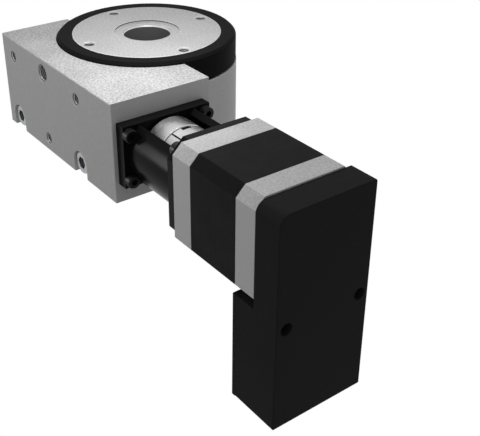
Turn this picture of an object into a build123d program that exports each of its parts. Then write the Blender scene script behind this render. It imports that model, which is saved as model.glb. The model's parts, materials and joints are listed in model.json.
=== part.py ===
from build123d import *
import os
from math import cos, pi, radians, sin, sqrt, tan

# Positioning rotary table: a worm-driven turntable with a stepping motor and its drive electronics.
# Millimetres, +Z up. The origin is on the table's turning axis, in the plane that the base rests on.
# The worm and the motor lie along Y, with the motor on the -Y side.

# Housing
side_face = 53.5
front_face = 58.5
back_face = 39.5
block_rise = 11.0
block_end = 7.0
rear_cut = 20.0
body_radius = 41.0
ledge_rise = 5.0
edge_break = 0.35

# Turntable
rim_inset = 0.2
rim_chamfer = 1.2
rim_pocket_gap = 0.4
rim_lift = 0.35
table_rise = 1.6
rim_width = 6.8
plate_thickness = 6.0
plate_seat_gap = 0.05
table_bolt_inset = 4.0
table_screw_hole = 2.1
table_countersink = 2.75
register_width = 3.7
register_depth = 0.8
bore_lip_width = 0.6
bore_lip_depth = 0.7
spindle_wall = 4.4
rim_screw_inset = 4.5
rim_screw_grip = 4.05
plate_skin = 1.2
plate_edge_break = 0.25
countersink_angle = 90.0
spindle_foot = 1.0
shoulder_width = 2.4
collar_wall = 3.5
collar_rise = 2.0
collar_gap = 0.4
nut_slot_width = 3.5
nut_slot_depth = 0.8
seal_width = 3.0
seal_inset = 2.8
seal_groove = 1.2
seal_gap = 0.15

# Table bearings
bearing_inset = 20.0
bearing_section = 6.0
bearing_width = 7.0
table_ball = 1.75
table_ball_count = 18
bearing_shelf = 1.5
roof_lip = 1.0
lower_bearing_foot = 5.0
seat_fit = 0.01
ball_play = 0.04
ring_reach = 0.62

# Worm gear
worm_pitch = 6.0
worm_height = 22.0
module_size = 1.0
wheel_teeth = 50
wheel_width = 8.0
pressure_angle = 20.0
backlash = 0.12
tooth_clearance = 0.3
addendum = 0.9
thread_turns = 8
wheel_room = 1.6
roof_gap = 1.0
key_width = 4.0
key_sink = 1.6
key_rise = 1.2
key_length = 11.0
key_setback = 2.0
key_play = 0.05
cut_margin = 0.5
thread_sink = 0.3
thread_run_out = 1.2

# Base plate
base_rim = 3.5
base_left = 36.0
base_gap = 0.1
nut_wall = 2.2
nut_room = 0.8
base_bolt_hole = 2.1
base_bolt_inset = 5.0
base_bolt_floor = 3.0
base_screw_land = 3.0
base_screw_head = 2.9
countersink_play = 0.15
base_screw_grip = 4.5
base_screw_key = 2.0
base_screw_key_depth = 1.3

# Worm shaft and its bearings
journal_radius = 4.0
worm_neck_radius = 5.0
worm_bearing_step = 0.5
worm_bearing_width = 5.0
worm_ball = 1.19
worm_ball_count = 9
worm_room = 0.6
worm_bearing_shelf = 1.3
shaft_edge_break = 0.4
front_bearing_sink = 1.0
rear_bearing_depth = 12.5
shaft_end_gap = 0.6
plug_length = 6.5
plug_key = 6.0
plug_key_depth = 3.5
plug_relief = 1.0
plug_edge_break = 0.5

# Side holes and side screws
side_bolt_spacing = 59.0
side_bolt_drop = 8.3
clamp_hole_drop = 6.6
low_hole_height = 6.2
side_hole = 2.1
side_countersink = 2.95
side_hole_depth = 10.0
clamp_hole = 3.4
clamp_countersink = 4.25
side_screw_inset = 4.7
side_pocket_radius = 5.5
side_pocket_depth = 6.8
side_screw_grip = 11.3
side_thread_depth = 13.0

# Coupling housing
flange_inset = 1.3
flange_height = 27.0
flange_thickness = 5.2
flange_bolt_margin = 5.0
flange_bolt_drop = 7.0
flange_screw_grip = 6.8
flange_hole_depth = 8.5
scallop_length = 5.5
tube_head_gap = 0.92
tube_wall = 2.95
tube_length = 32.2
window_angle = 90.0
window_land = 1.6
motor_plate_thickness = 3.6
motor_plate_chamfer = 7.0
plate_screw_grip = 4.2

# Coupling
coupling_room = 2.2
coupling_gap = 1.3
worm_hub_length = 10.2
motor_hub_length = 11.2
disc_thickness = 0.6
disc_inset = 0.4
tongue_width = 4.0
tongue_height = 2.0
tongue_inset = 1.1
tongue_play = 0.03
tongue_end_play = 0.15
hub_edge_break = 0.3
slit_width = 0.7
worm_slit_angle = 297.0
motor_slit_angle = 117.0
clamp_screw_inset = 4.2
clamp_head_depth = 3.2
clamp_setback = 3.0
clamp_screw_length = 9.0

# Motor
motor_size = 42.3
motor_chamfer = 3.95
front_cap_length = 10.7
stack_length = 26.3
rear_cap_length = 10.3
motor_bolt_margin = 11.3
pilot_radius = 11.0
pilot_height = 2.0
pilot_gap = 0.2
motor_bolt_grip = 5.0
motor_shaft_radius = 2.5
shaft_hole_gap = 1.0
shaft_tip_gap = 0.4
motor_bearing_outside = 8.0
motor_bearing_width = 5.0
motor_ball = 1.6
motor_ball_count = 8
pole_length = 5.2
air_gap = 0.3
cap_floor = 3.0
cap_wall = 2.55
coil_room = 2.1
pole_count = 8
pole_width = 5.0
stack_wall = 2.95
pole_sink = 0.4
coil_thickness = 1.8
coil_depth = 3.2
coil_play = 0.05
rotor_cup_length = 10.0
rotor_teeth = 50
rotor_slot_width = 0.8
rotor_slot_depth = 0.6
rotor_magnet_inset = 1.5
rotor_magnet_length = 3.0

# Drive case
case_inset = 0.3
case_top_drop = 0.65
case_left_corner = 4.5
case_right_corner = 1.0
case_depth = 12.4
case_nose_length = 12.1
case_shoulder_gap = 0.35
case_bottom = 45.5
case_wall = 2.2
case_screw_margin = 8.6
case_screw_drop = 2.9
case_hole_radius = 2.5
case_screw_sink = 15.0
case_edge_break = 0.5
cover_thickness = 2.2
cover_screw_grip = 1.7
boss_wall = 1.2
connector_rise = 2.0
connector_flange_radius = 6.5
connector_flange_height = 1.5
connector_body_radius = 5.0
connector_body_length = 11.0
connector_socket_radius = 2.75
connector_socket_depth = 9.0
connector_pin_radius = 1.0
board_thickness = 1.6
board_setback = 15.0
board_side_gap = 6.0
board_top_gap = 7.5
board_foot_gap = 4.5
board_bolt_margin = 8.0
board_screw_grip = 3.5
board_post_radius = 2.6
capacitor_radius = 4.0
capacitor_height = 11.5
capacitor_spacing = 11.0
encoder_side_gap = 9.0
encoder_bolt_margin = 6.0
encoder_magnet_radius = 3.2
encoder_magnet_length = 2.0
encoder_gap = 1.0
encoder_post_radius = 2.2
encoder_screw_grip = 2.0
magnet_gap = 0.6
shaft_tail_length = 3.4

# Screw sizes: thread radius, head radius, head height, key width across flats
m2 = (1.0, 1.9, 1.4, 1.5)
m25 = (1.25, 2.25, 2.5, 2.0)
m3 = (1.5, 2.75, 3.0, 2.5)
m6 = (3.0, 5.0, 6.0, 5.0)
thread_play = 0.05
through_play = 0.2
head_play = 0.25
head_sink = 0.3
hole_extra = 0.4


def corners(width, height):
    return [(x * width / 2, y * height / 2) for x in (-1, 1) for y in (-1, 1)]


# Heights that follow from the worm's height
cavity_roof = worm_height + wheel_width / 2 + roof_gap
upper_bearing_foot = cavity_roof + roof_lip
collar_top = upper_bearing_foot + bearing_width + collar_rise
ledge_height = upper_bearing_foot + ledge_rise
block_height = ledge_height + block_rise
table_top = block_height + table_rise
rim_foot = ledge_height + rim_lift
plate_foot = table_top - plate_thickness
rim_screw_seat = rim_foot + m3[2] + head_sink
side_bolt_height = block_height - side_bolt_drop
clamp_hole_height = block_height - clamp_hole_drop
base_thickness = lower_bearing_foot + bearing_width
base_bolt_depth = base_thickness - base_bolt_floor
side_screw_height = base_thickness / 2

# Radii that follow from the round body's
rim_radius = body_radius - rim_inset
pocket_radius = rim_radius + rim_pocket_gap
plate_radius = rim_radius - rim_width
table_bolt_radius = plate_radius - table_bolt_inset
rim_screw_circle = plate_radius - rim_screw_inset
seal_outside = rim_radius - seal_inset
seal_inside = seal_outside - seal_width
bearing_outside = body_radius - bearing_inset
collar_radius = bearing_outside + collar_wall
rim_bore = collar_radius + collar_gap
spindle_radius = bearing_outside - bearing_section
shoulder_radius = spindle_radius + shoulder_width
nut_radius = spindle_radius + nut_wall
bore_radius = spindle_radius - spindle_wall
bore_lip_radius = bore_radius + bore_lip_width
register_radius = bore_lip_radius + register_width

# Worm gear
wheel_pitch = module_size * wheel_teeth / 2
worm_offset = wheel_pitch + worm_pitch
wheel_tip = wheel_pitch + addendum * module_size
worm_tip = worm_pitch + addendum * module_size
wheel_root = worm_offset - worm_tip - tooth_clearance
worm_root = worm_offset - wheel_tip - tooth_clearance
wheel_cavity = wheel_tip + wheel_room
worm_bore = worm_tip + worm_room
worm_bearing_outside = worm_bore + worm_bearing_step
rear_bearing_start = back_face - rear_bearing_depth
base_screw_circle = wheel_cavity + base_screw_land
base_radius = base_screw_circle + base_rim
base_bolt_radius = base_radius - base_bolt_inset
side_screw_spacing = 2 * (base_radius - side_screw_inset)
side_screw_length = side_face - side_pocket_depth - base_left + side_screw_grip
lead = pi * module_size
thread_length = thread_turns * lead
flank_slope = tan(radians(pressure_angle))
wheel_foot = worm_height - wheel_width / 2
key_foot = lower_bearing_foot + bearing_width + key_setback

# Stations along the worm axis, and sizes that follow from the motor's
flange_front = front_face + flange_thickness
plate_back = flange_front + tube_length
motor_face = plate_back + motor_plate_thickness
stack_start = motor_face + front_cap_length
stack_end = stack_start + stack_length
motor_end = stack_end + rear_cap_length
case_rear = motor_end + case_depth
case_nose = motor_end - case_nose_length
coupling_start = flange_front + coupling_gap
flange_width = motor_size - flange_inset
flange_bolt_width = flange_width - flange_bolt_margin
flange_bolt_height = flange_height - flange_bolt_drop
motor_bolt_spacing = motor_size - motor_bolt_margin
tube_radius = motor_bolt_spacing / sqrt(2) - m3[1] - tube_head_gap
tube_bore = tube_radius - tube_wall
coupling_radius = tube_bore - coupling_room
clamp_screw_offset = coupling_radius - clamp_screw_inset
disc_radius = coupling_radius - disc_inset
tongue_length = 2 * (disc_radius - tongue_inset)
cap_bore = motor_size / 2 - cap_wall
slot_radius = motor_size / 2 - stack_wall
rotor_radius = slot_radius - pole_length
rotor_magnet_radius = rotor_radius - rotor_magnet_inset
case_width = motor_size - case_inset
case_top = worm_height + motor_size / 2 - case_top_drop
case_shoulder = worm_height - motor_size / 2 - case_shoulder_gap
case_screw_spacing = case_width - case_screw_margin
case_screw_height = case_shoulder - case_screw_drop
board_top = case_shoulder - board_top_gap
board_foot = board_foot_gap - case_bottom
board_height = board_top - board_foot
board_middle = (board_top + board_foot) / 2
encoder_board_size = case_width - 2 * encoder_side_gap
encoder_bolt_spacing = encoder_board_size - encoder_bolt_margin
board_width = case_width - board_side_gap
board_bolt_width = board_width - board_bolt_margin
board_bolt_height = board_height - board_bolt_margin
connector_height = board_middle + connector_rise
upper_bearing_middle = upper_bearing_foot + bearing_width / 2
lower_bearing_middle = lower_bearing_foot + bearing_width / 2
front_bearing_start = front_face - front_bearing_sink - worm_bearing_width
front_bearing_middle = front_bearing_start + worm_bearing_width / 2
rear_bearing_middle = -(rear_bearing_start + worm_bearing_width / 2)
disc_start = coupling_start + worm_hub_length
worm_shaft_end = disc_start - tongue_height - shaft_end_gap
motor_hub_start = disc_start + disc_thickness
motor_shaft_tip = motor_hub_start + tongue_height + shaft_tip_gap
shaft_tail = motor_end + shaft_tail_length
encoder_start = shaft_tail + encoder_magnet_length + encoder_gap
board_start = case_nose + board_setback
board_places = [(x, y + board_middle) for x, y in corners(board_bolt_width, board_bolt_height)]
encoder_places = [(x, worm_height) for x in (-encoder_bolt_spacing / 2, encoder_bolt_spacing / 2)]
case_screw_seat = case_rear - case_screw_sink
case_inside = case_rear - case_wall
cover_seat = case_nose + cover_thickness
board_back = board_start + board_thickness
encoder_back = encoder_start + board_thickness
bolt_seat = motor_end + case_wall
case_places = [(x, case_screw_height) for x in (-case_screw_spacing / 2, case_screw_spacing / 2)]
capacitor_middle = board_middle - board_bolt_height / 2 + capacitor_radius
capacitor_places = [(x, capacitor_middle) for x in (-capacitor_spacing / 2, capacitor_spacing / 2)]
stator_bore = rotor_radius + air_gap
pole_middle = (stator_bore + slot_radius + pole_sink) / 2
front_motor_bearing = motor_face + cap_floor + motor_bearing_width / 2
rear_motor_bearing = motor_end - cap_floor - motor_bearing_width / 2

underside = Plane(origin=(0, 0, 0), x_dir=(1, 0, 0), z_dir=(0, 0, -1))
side_screw_places = [(y, side_screw_height) for y in (-side_screw_spacing / 2, side_screw_spacing / 2)]

os.makedirs("parts", exist_ok=True)


def save(piece, name):
    piece.part.label = name
    export_step(piece.part, f"parts/{name}.step")


def level(height):
    return Plane.XY.offset(height)


def along(distance):
    # Square to the worm axis and centred on it, facing the motor. Local x is X and local y is Z.
    return Plane(origin=(-worm_offset, -distance, worm_height), x_dir=(1, 0, 0), z_dir=(0, -1, 0))


def side(depth=0.0):
    # Parallel to the flat side of the block, facing outwards. Local x is -Y and local y is Z.
    return Plane(origin=(-side_face + depth, 0, 0), x_dir=(0, -1, 0), z_dir=(-1, 0, 0))


def behind(distance):
    # As along, but with its local y measured from the base plane.
    return Plane(origin=(-worm_offset, -distance, 0), x_dir=(1, 0, 0), z_dir=(0, -1, 0))


def facing_back(distance, height=0.0):
    # Square to the worm axis, facing the block. Local x is -X and local y is Z from the given height.
    return Plane(origin=(-worm_offset, -distance, height), x_dir=(-1, 0, 0), z_dir=(0, 1, 0))


def cap_screws(name, seat, places, size, length):
    # The seat plane is where the heads bear, and faces the way the heads point.
    thread, head, head_height, key = size
    with BuildPart() as screws:
        with BuildSketch(seat):
            with Locations(*places):
                Circle(head)
        extrude(amount=head_height)
        chamfer(screws.edges().group_by(Axis(seat.origin, seat.z_dir))[-1], head * 0.08)
        with BuildSketch(seat):
            with Locations(*places):
                Circle(thread)
        extrude(amount=-length)
        with BuildSketch(seat.offset(head_height)):
            with Locations(*places):
                RegularPolygon(key / 2, 6, major_radius=False)
        extrude(amount=-head_height * 0.55, mode=Mode.SUBTRACT)
    save(screws, name)


def ball_bearing(name, middle, bore, outside, width, ball, count):
    pitch = (bore + outside) / 2
    land = ball * ring_reach
    with BuildPart(middle) as outer_ring:
        with BuildSketch(middle.offset(-width / 2)):
            Circle(outside)
            Circle(pitch + land, mode=Mode.SUBTRACT)
        extrude(amount=width)
        Torus(pitch, ball + ball_play, mode=Mode.SUBTRACT)
    save(outer_ring, f"{name}_outer_ring")
    with BuildPart(middle) as inner_ring:
        with BuildSketch(middle.offset(-width / 2)):
            Circle(pitch - land)
            Circle(bore, mode=Mode.SUBTRACT)
        extrude(amount=width)
        Torus(pitch, ball + ball_play, mode=Mode.SUBTRACT)
    save(inner_ring, f"{name}_inner_ring")
    with BuildPart(middle) as balls:
        with PolarLocations(pitch, count):
            Sphere(ball)
    save(balls, f"{name}_balls")


def base_outline(grow):
    # The base plate's outline: a half disc to the right and a square end to the left.
    Circle(base_radius + grow)
    with Locations((-(base_left + grow) / 2, 0)):
        Rectangle(base_left + grow, 2 * (base_radius + grow))


# Housing: a square block for the worm, joined to a lower round body under the turntable
with BuildPart() as housing:
    with BuildSketch():
        with BuildLine():
            Polyline(
                (-side_face, -front_face),
                (-block_end, -front_face),
                (-block_end, 0),
                (-rear_cut, 0),
                (-rear_cut, back_face),
                (-side_face, back_face),
                close=True,
            )
        make_face()
    extrude(amount=block_height)
    with BuildSketch():
        Circle(body_radius)
    extrude(amount=ledge_height)
    with BuildSketch(level(block_height)):
        Circle(pocket_radius)
    extrude(amount=ledge_height - block_height, mode=Mode.SUBTRACT)
    chamfer(housing.faces().sort_by(Axis.X)[0].edges(), edge_break)
    with BuildSketch(level(ledge_height)):
        Circle(seal_outside + seat_fit)
        Circle(seal_inside - seat_fit, mode=Mode.SUBTRACT)
    extrude(amount=-seal_groove, mode=Mode.SUBTRACT)
    with BuildSketch(level(ledge_height)):
        Circle(collar_radius)
    extrude(amount=collar_top - ledge_height)
    with BuildSketch(level(collar_top)):
        Circle(bearing_outside + seat_fit)
    extrude(amount=upper_bearing_foot - collar_top, mode=Mode.SUBTRACT)
    with BuildSketch(level(upper_bearing_foot)):
        Circle(bearing_outside - bearing_shelf)
    extrude(amount=cavity_roof - upper_bearing_foot, mode=Mode.SUBTRACT)
    with BuildSketch(level(cavity_roof)):
        Circle(wheel_cavity)
    extrude(amount=-cavity_roof, mode=Mode.SUBTRACT)
    with BuildSketch():
        base_outline(base_gap)
    extrude(amount=base_thickness, mode=Mode.SUBTRACT)
    with BuildSketch(along(front_face)):
        Circle(worm_bore)
    extrude(amount=-(front_face + back_face), mode=Mode.SUBTRACT)
    with BuildSketch(along(front_face)):
        Circle(worm_bearing_outside + seat_fit)
    extrude(amount=-(front_bearing_sink + worm_bearing_width), mode=Mode.SUBTRACT)
    with BuildSketch(along(-back_face)):
        Circle(worm_bearing_outside + seat_fit)
    extrude(amount=back_face - rear_bearing_start, mode=Mode.SUBTRACT)
    # Tapped holes for the coupling housing
    with BuildSketch(along(front_face)):
        with Locations(*corners(flange_bolt_width, flange_bolt_height)):
            Circle(m3[0] + thread_play)
    extrude(amount=-flange_hole_depth, mode=Mode.SUBTRACT)
    # Tapped holes in the flat side, two above and one below, and the larger clamp hole
    with Locations(side()):
        with Locations(
            (-side_bolt_spacing / 2, side_bolt_height),
            (side_bolt_spacing / 2, side_bolt_height),
            (0, low_hole_height),
        ):
            CounterSinkHole(side_hole, side_countersink, side_hole_depth, countersink_angle)
        with Locations((0, clamp_hole_height)):
            CounterSinkHole(clamp_hole, clamp_countersink, side_hole_depth, countersink_angle)
    # Side screw pockets, open at the bottom
    with BuildSketch(side()):
        with Locations(*side_screw_places):
            Circle(side_pocket_radius)
        with Locations((-side_screw_spacing / 2, 0), (side_screw_spacing / 2, 0)):
            Rectangle(2 * side_pocket_radius, 2 * side_screw_height)
    extrude(amount=-side_pocket_depth, mode=Mode.SUBTRACT)
    with BuildSketch(side(side_pocket_depth)):
        with Locations(*side_screw_places):
            Circle(m6[0] + through_play)
    extrude(amount=-(side_face - side_pocket_depth - base_left), mode=Mode.SUBTRACT)
    # Tapped holes above the base plate
    with BuildSketch(level(base_thickness)):
        with PolarLocations(base_screw_circle, 4, 45):
            Circle(m3[0] + thread_play)
    extrude(amount=base_screw_grip + hole_extra, mode=Mode.SUBTRACT)
save(housing, "housing")

with BuildPart() as base_plate:
    with BuildSketch():
        base_outline(0)
    extrude(amount=base_thickness)
    with BuildSketch(level(base_thickness)):
        Circle(bearing_outside + seat_fit)
    extrude(amount=lower_bearing_foot - base_thickness, mode=Mode.SUBTRACT)
    with BuildSketch():
        Circle(nut_radius + nut_room)
    extrude(amount=lower_bearing_foot, mode=Mode.SUBTRACT)
    with BuildSketch(side(side_face - base_left)):
        with Locations(*side_screw_places):
            Circle(m6[0] + thread_play)
    extrude(amount=-side_thread_depth, mode=Mode.SUBTRACT)
    with Locations(underside):
        with PolarLocations(base_bolt_radius, 4):
            Hole(base_bolt_hole, base_bolt_depth)
        with PolarLocations(base_screw_circle, 4, 45):
            CounterSinkHole(
                m3[0] + through_play,
                base_screw_head + countersink_play,
                base_thickness,
                countersink_angle,
            )
save(base_plate, "base_plate")

with BuildPart() as base_plate_screws:
    with BuildSketch():
        with PolarLocations(base_screw_circle, 4, 45):
            Circle(m3[0])
    extrude(amount=base_thickness + base_screw_grip)
    with PolarLocations(base_screw_circle, 4, 45):
        Cone(
            base_screw_head,
            m3[0],
            base_screw_head - m3[0],
            align=(Align.CENTER, Align.CENTER, Align.MIN),
        )
    with BuildSketch():
        with PolarLocations(base_screw_circle, 4, 45):
            RegularPolygon(base_screw_key / 2, 6, major_radius=False)
    extrude(amount=base_screw_key_depth, mode=Mode.SUBTRACT)
save(base_plate_screws, "base_plate_screws")

cap_screws("side_screws", side(side_pocket_depth), side_screw_places, m6, side_screw_length)

with BuildPart() as rim_seal:
    with BuildSketch(level(ledge_height - seal_groove)):
        Circle(seal_outside)
        Circle(seal_inside, mode=Mode.SUBTRACT)
    extrude(amount=seal_groove + rim_lift - seal_gap)
save(rim_seal, "rim_seal")

# Turntable: a plate and hollow spindle in one piece, and a black rim that carries the plate's edge
with BuildPart() as table_plate:
    with BuildSketch(level(plate_foot)):
        Circle(plate_radius)
    extrude(amount=plate_thickness)
    chamfer(table_plate.edges().group_by(Axis.Z)[-1], plate_edge_break)
    with BuildSketch(level(upper_bearing_foot + bearing_width)):
        Circle(shoulder_radius)
    extrude(amount=plate_foot - upper_bearing_foot - bearing_width)
    with BuildSketch(level(spindle_foot)):
        Circle(spindle_radius - seat_fit)
    extrude(amount=upper_bearing_foot + bearing_width - spindle_foot)
    with BuildSketch(level(spindle_foot)):
        Circle(bore_radius)
    extrude(amount=table_top - spindle_foot, mode=Mode.SUBTRACT)
    with BuildSketch(level(table_top)):
        Circle(bore_lip_radius)
    extrude(amount=-(register_depth + bore_lip_depth), mode=Mode.SUBTRACT)
    with BuildSketch(level(table_top)):
        Circle(register_radius)
    extrude(amount=-register_depth, mode=Mode.SUBTRACT)
    with Locations(level(table_top - register_depth - bore_lip_depth)):
        Cone(
            bore_radius,
            bore_lip_radius,
            bore_lip_radius - bore_radius,
            align=(Align.CENTER, Align.CENTER, Align.MAX),
            mode=Mode.SUBTRACT,
        )
    with Locations(level(table_top)):
        with PolarLocations(table_bolt_radius, 4):
            CounterSinkHole(table_screw_hole, table_countersink, plate_thickness, countersink_angle)
    with BuildSketch(level(plate_foot)):
        with PolarLocations(rim_screw_circle, 4, 45):
            Circle(m3[0] + thread_play)
    extrude(amount=plate_thickness - plate_skin, mode=Mode.SUBTRACT)
    with BuildSketch(level(key_foot)):
        with Locations((spindle_radius, 0)):
            Rectangle(2 * key_sink, key_width + 2 * seat_fit)
    extrude(amount=key_length, mode=Mode.SUBTRACT)
save(table_plate, "table_plate")

with BuildPart() as table_rim:
    with BuildSketch(level(rim_foot)):
        Circle(rim_radius)
    extrude(amount=table_top - rim_foot)
    chamfer(table_rim.edges().group_by(Axis.Z)[-1], rim_chamfer)
    chamfer(table_rim.edges().group_by(Axis.Z)[0], edge_break)
    with BuildSketch(level(plate_foot)):
        Circle(plate_radius + plate_seat_gap)
    extrude(amount=plate_thickness, mode=Mode.SUBTRACT)
    with BuildSketch(level(rim_foot)):
        Circle(rim_bore)
    extrude(amount=plate_foot - rim_foot, mode=Mode.SUBTRACT)
    with BuildSketch(level(rim_foot)):
        with PolarLocations(rim_screw_circle, 4, 45):
            Circle(m3[1] + head_play)
    extrude(amount=m3[2] + head_sink, mode=Mode.SUBTRACT)
    with BuildSketch(level(rim_foot)):
        with PolarLocations(rim_screw_circle, 4, 45):
            Circle(m3[0] + through_play)
    extrude(amount=plate_foot - rim_foot, mode=Mode.SUBTRACT)
save(table_rim, "table_rim")

rim_screw_reach = rim_screw_circle * sqrt(2)
cap_screws(
    "rim_screws",
    Plane(origin=(0, 0, rim_screw_seat), x_dir=(1, 0, 0), z_dir=(0, 0, -1)),
    corners(rim_screw_reach, rim_screw_reach),
    m3,
    plate_foot + rim_screw_grip - rim_screw_seat,
)

with BuildPart() as spindle_nut:
    with BuildSketch(level(spindle_foot)):
        Circle(nut_radius)
        Circle(spindle_radius + seat_fit, mode=Mode.SUBTRACT)
        with PolarLocations(nut_radius, 4):
            Rectangle(2 * nut_slot_depth, nut_slot_width, mode=Mode.SUBTRACT)
    extrude(amount=lower_bearing_foot - spindle_foot)
save(spindle_nut, "spindle_nut")

ball_bearing(
    "upper_bearing",
    level(upper_bearing_middle),
    spindle_radius,
    bearing_outside,
    bearing_width,
    table_ball,
    table_ball_count,
)
ball_bearing(
    "lower_bearing",
    level(lower_bearing_middle),
    spindle_radius,
    bearing_outside,
    bearing_width,
    table_ball,
    table_ball_count,
)


# Worm wheel: the gap between two teeth has involute flanks and leans by the worm's lead angle
def involute_angle(radius):
    base = wheel_pitch * cos(radians(pressure_angle))
    angle = sqrt((radius / base) ** 2 - 1)
    return angle - atan_of(angle)


def atan_of(value):
    return radians(Vector(1, value).get_angle(Vector(1, 0)))


def gap_half_angle(radius):
    half_tooth = pi / (2 * wheel_teeth)
    return half_tooth + backlash / (4 * wheel_pitch) + involute_angle(radius) - involute_angle(wheel_pitch)


def flank(sign):
    points = []
    for step in range(6):
        radius = wheel_root + (wheel_tip + cut_margin - wheel_root) * step / 5
        angle = pi + sign * gap_half_angle(radius)
        points.append((radius * cos(angle), radius * sin(angle)))
    return points


lean = -lead / (2 * pi * worm_pitch)
cut_rise = wheel_width + 2 * cut_margin
with BuildPart() as tooth_gap:
    with BuildSketch(Plane(origin=(0, -lean * cut_rise / 2, wheel_foot - cut_margin))):
        with BuildLine():
            left = Spline(*flank(-1))
            right = Spline(*flank(1))
            Line(left @ 0, right @ 0)
            Line(left @ 1, right @ 1)
        make_face()
    extrude(amount=cut_rise * sqrt(1 + lean**2), dir=(0, lean, 1))

with BuildPart() as worm_wheel:
    with BuildSketch(level(wheel_foot)):
        Circle(wheel_tip)
    extrude(amount=wheel_width)
    with PolarLocations(0, wheel_teeth):
        add(tooth_gap.part, mode=Mode.SUBTRACT)
    with BuildSketch(level(lower_bearing_foot + bearing_width)):
        Circle(shoulder_radius)
    extrude(amount=upper_bearing_foot - lower_bearing_foot - bearing_width)
    with BuildSketch(level(lower_bearing_foot + bearing_width)):
        Circle(spindle_radius + seat_fit)
        with Locations((spindle_radius, 0)):
            Rectangle(2 * key_rise, key_width + 2 * seat_fit)
    extrude(amount=upper_bearing_foot - lower_bearing_foot - bearing_width, mode=Mode.SUBTRACT)
save(worm_wheel, "worm_wheel")

with BuildPart() as wheel_key:
    with Locations((spindle_radius + (key_rise - key_sink) / 2, 0, key_foot + key_play)):
        Box(
            key_rise + key_sink - 2 * key_play,
            key_width,
            key_length - 2 * key_play,
            align=(Align.CENTER, Align.CENTER, Align.MIN),
        )
save(wheel_key, "wheel_key")

# Worm shaft: one threaded length between two necks, with a journal at each end
thread_foot = worm_root - thread_sink
half_base = pi * module_size / 4 - backlash / 4
half_foot = half_base + (worm_pitch - thread_foot) * flank_slope
half_crest = half_base - (worm_tip - worm_pitch) * flank_slope
neck_start = thread_length / 2 + thread_run_out
with BuildPart() as worm_thread:
    with BuildLine() as thread_path:
        Helix(lead, thread_turns * lead, worm_pitch)
    with BuildSketch(Plane.XZ):
        with BuildLine():
            Polyline(
                (thread_foot, half_foot),
                (worm_tip, half_crest),
                (worm_tip, -half_crest),
                (thread_foot, -half_foot),
                close=True,
            )
        make_face()
    sweep(path=thread_path.wires()[0], is_frenet=True)

with BuildPart() as worm_shaft:
    with BuildSketch(along(-neck_start)):
        Circle(worm_root)
    extrude(amount=2 * neck_start)
    with Locations(along(-thread_length / 2)):
        add(worm_thread.part)
    with BuildSketch(along(-rear_bearing_start)):
        Circle(worm_neck_radius)
    extrude(amount=rear_bearing_start - neck_start)
    with BuildSketch(along(neck_start)):
        Circle(worm_neck_radius)
    extrude(amount=front_bearing_start - neck_start)
    with BuildSketch(along(-rear_bearing_start - worm_bearing_width)):
        Circle(journal_radius - seat_fit)
    extrude(amount=worm_bearing_width)
    with BuildSketch(along(front_bearing_start)):
        Circle(journal_radius - seat_fit)
    extrude(amount=worm_shaft_end - front_bearing_start)
    chamfer(worm_shaft.edges().filter_by(GeomType.CIRCLE).group_by(Axis.Y)[0], shaft_edge_break)
    chamfer(worm_shaft.edges().filter_by(GeomType.CIRCLE).group_by(Axis.Y)[-1], shaft_edge_break)
save(worm_shaft, "worm_shaft")

for bearing, middle in (
    ("worm_front_bearing", front_bearing_middle),
    ("worm_rear_bearing", rear_bearing_middle),
):
    ball_bearing(
        bearing,
        along(middle),
        journal_radius,
        worm_bearing_outside,
        worm_bearing_width,
        worm_ball,
        worm_ball_count,
    )

with BuildPart() as worm_end_plug:
    with BuildSketch(along(-rear_bearing_start - worm_bearing_width)):
        Circle(worm_bearing_outside - thread_play)
    extrude(amount=-plug_length)
    with BuildSketch(along(-rear_bearing_start - worm_bearing_width)):
        Circle(worm_bearing_outside - worm_bearing_shelf)
    extrude(amount=-plug_relief, mode=Mode.SUBTRACT)
    with BuildSketch(along(-rear_bearing_start - worm_bearing_width - plug_length)):
        RegularPolygon(plug_key / 2, 6, major_radius=False)
    extrude(amount=plug_key_depth, mode=Mode.SUBTRACT)
    chamfer(worm_end_plug.edges().group_by(Axis.Y)[-1].filter_by(GeomType.CIRCLE), plug_edge_break)
save(worm_end_plug, "worm_end_plug")

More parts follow.
